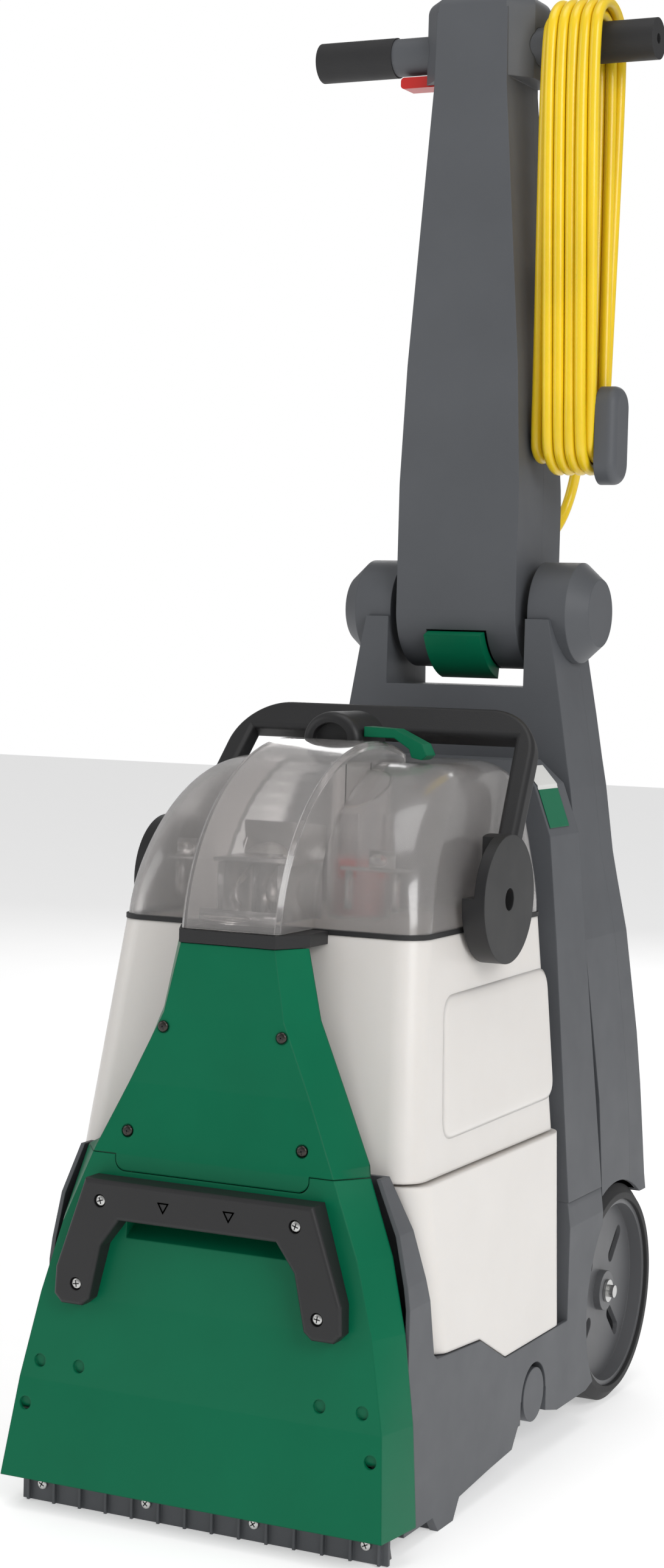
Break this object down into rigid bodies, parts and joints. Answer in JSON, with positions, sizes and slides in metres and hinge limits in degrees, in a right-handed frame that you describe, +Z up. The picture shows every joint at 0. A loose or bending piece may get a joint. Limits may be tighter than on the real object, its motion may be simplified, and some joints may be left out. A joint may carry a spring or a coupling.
{
  "type": "carpet cleaner machine",
  "caption": "Upright carpet cleaner with stacked clean and dirty water tanks, clear domed lid, floor nozzle and brush, rear wheels and a folding handle with wound cord.",
  "frame": {"origin": "on the floor, midway between the nozzle lip and the back of the wheels, in the middle plane", "axes": "+X to the right seen from the front, the nozzle faces -Y, +Z up along the handle"},
  "size_m": [0.302, 0.6037, 1.118],
  "materials": {
    "green_plastic": "gloss",
    "gray_plastic": "satin",
    "black_plastic": "satin",
    "inner_plastic": "matte",
    "tank_plastic": "translucent satin",
    "clear_plastic": "clear",
    "red_plastic": "gloss",
    "black_rubber": "matte",
    "tyre_rubber": "matte",
    "wheel_plastic": "satin",
    "steel": "brushed",
    "bristle": "matte",
    "cord_yellow": "satin"
  },
  "bodies": {
    "base": {"chassis": "gray_plastic", "tank_deck": "inner_plastic", "rear_tower": "gray_plastic", "motor_cover": "gray_plastic", "suction_motor": "steel", "upper_front_panel": "green_plastic", "lower_front_panel": "green_plastic", "panel_screws": "steel", "lift_handle": "black_plastic", "lift_handle_screws": "steel", "nozzle_strip": "gray_plastic", "strip_screws": "steel", "suction_duct": "inner_plastic", "spray_bar": "inner_plastic", "brush_motor": "steel", "brush_bearings": "inner_plastic", "drive_belt": "black_rubber", "water_pump": "inner_plastic", "wheel_axle": "steel", "wheel_clips": "steel"},
    "fan": {"suction_fan": "inner_plastic"},
    "motor_shaft": {"motor_pulley": "steel"},
    "brush": {"brush_roll": "inner_plastic", "brush_bristles": "bristle"},
    "right_wheel": {"wheel_right": "wheel_plastic", "tyre_right": "tyre_rubber"},
    "left_wheel": {"wheel_left": "wheel_plastic", "tyre_left": "tyre_rubber"},
    "right_roller": {"side_roller_right": "gray_plastic"},
    "left_roller": {"side_roller_left": "gray_plastic"},
    "clean_tank": {"clean_tank": "tank_plastic", "tank_valve": "black_plastic"},
    "cap": {"fill_cap": "black_plastic"},
    "dirty_tank": {"dirty_tank": "tank_plastic", "duct_collar": "black_plastic"},
    "lid": {"tank_lid": "clear_plastic", "lid_gasket": "black_rubber", "float_cage": "clear_plastic", "lid_outlet": "black_plastic"},
    "float": {"float_block": "red_plastic"},
    "latch": {"lid_latch": "green_plastic"},
    "bail": {"bail_handle": "black_plastic"},
    "frame": {"frame_front": "gray_plastic", "frame_rear": "gray_plastic", "axle_brackets": "steel", "hinge_pods": "gray_plastic", "fold_pin": "steel"},
    "handle": {"handle_front": "gray_plastic", "handle_rear": "gray_plastic", "grip_bar": "gray_plastic", "hand_grips": "black_rubber", "cord_gland": "black_rubber", "power_cord_lead": "cord_yellow", "power_cord_coil": "cord_yellow", "power_cord_tail": "cord_yellow", "power_plug": "black_plastic"},
    "trigger": {"trigger": "red_plastic"},
    "fold_latch": {"fold_latch": "green_plastic"},
    "hook": {"cord_hook": "gray_plastic"},
    "switch": {"power_switch": "black_plastic"}
  },
  "joints": [
    {"name": "fan_spin", "type": "hinge", "parent": "base", "child": "fan", "pos_m": [0, 0.182, 0.29], "axis": [0, 0, 1], "continuous": true},
    {"name": "brush_spin", "type": "hinge", "parent": "base", "child": "brush", "pos_m": [0, -0.2, 0.031], "axis": [1, 0, 0], "continuous": true},
    {"name": "motor_spin", "type": "hinge", "parent": "base", "child": "motor_shaft", "pos_m": [-0.12, -0.122, 0.066], "axis": [1, 0, 0], "continuous": true},
    {"name": "right_wheel_spin", "type": "hinge", "parent": "base", "child": "right_wheel", "pos_m": [0.11, 0.195, 0.087], "axis": [1, 0, 0], "continuous": true},
    {"name": "left_wheel_spin", "type": "hinge", "parent": "base", "child": "left_wheel", "pos_m": [-0.11, 0.195, 0.087], "axis": [1, 0, 0], "continuous": true},
    {"name": "right_roller_spin", "type": "hinge", "parent": "base", "child": "right_roller", "pos_m": [0.13, -0.004, 0.053], "axis": [1, 0, 0], "continuous": true},
    {"name": "left_roller_spin", "type": "hinge", "parent": "base", "child": "left_roller", "pos_m": [-0.13, -0.004, 0.053], "axis": [1, 0, 0], "continuous": true},
    {"name": "clean_tank_lift", "type": "slide", "parent": "base", "child": "clean_tank", "axis": [0, 0, 1], "range_m": [0, 0.25]},
    {"name": "cap_turn", "type": "hinge", "parent": "clean_tank", "child": "cap", "pos_m": [0.085, -0.15, 0.235], "axis": [0, 0, 1], "range_deg": [0, 90]},
    {"name": "dirty_tank_lift", "type": "slide", "parent": "clean_tank", "child": "dirty_tank", "axis": [0, 0, 1], "range_m": [0, 0.25]},
    {"name": "lid_lift", "type": "slide", "parent": "dirty_tank", "child": "lid", "axis": [0, 0, 1], "range_m": [0, 0.2]},
    {"name": "float_rise", "type": "slide", "parent": "lid", "child": "float", "axis": [0, 0, 1], "range_m": [0, 0.03]},
    {"name": "lid_latch_lift", "type": "hinge", "parent": "lid", "child": "latch", "pos_m": [0.066, -0.075, 0.528], "axis": [0, 1, 0], "range_deg": [0, 30]},
    {"name": "bail_swing", "type": "hinge", "parent": "lid", "child": "bail", "pos_m": [0, -0.08, 0.427], "axis": [1, 0, 0], "range_deg": [0, 85]},
    {"name": "frame_recline", "type": "hinge", "parent": "base", "child": "frame", "pos_m": [0, 0.195, 0.087], "axis": [1, 0, 0], "range_deg": [-50, 0]},
    {"name": "handle_fold", "type": "hinge", "parent": "frame", "child": "handle", "pos_m": [0, 0.177, 0.633], "axis": [-1, 0, 0], "range_deg": [-95, 0]},
    {"name": "trigger_squeeze", "type": "hinge", "parent": "handle", "child": "trigger", "pos_m": [-0.036, 0.162, 1.056], "axis": [0, 1, 0], "range_deg": [0, 4], "stiffness_Nm_per_rad": 0.4, "springref_deg": -5.73},
    {"name": "fold_latch_press", "type": "hinge", "parent": "handle", "child": "fold_latch", "pos_m": [0, 0.125, 0.613], "axis": [1, 0, 0], "range_deg": [0, 5], "stiffness_Nm_per_rad": 1, "springref_deg": -8.59},
    {"name": "hook_turn", "type": "hinge", "parent": "handle", "child": "hook", "pos_m": [0.1, 0.165, 0.77], "axis": [1, 0, 0], "range_deg": [0, 180]},
    {"name": "switch_rock", "type": "hinge", "parent": "handle", "child": "switch", "pos_m": [0, 0.203, 0.94], "axis": [1, 0, 0], "range_deg": [-6, 6]}
  ],
  "couplings": [
    {"joint": "motor_spin", "follows": "brush_spin", "ratio": 1.6}
  ]
}
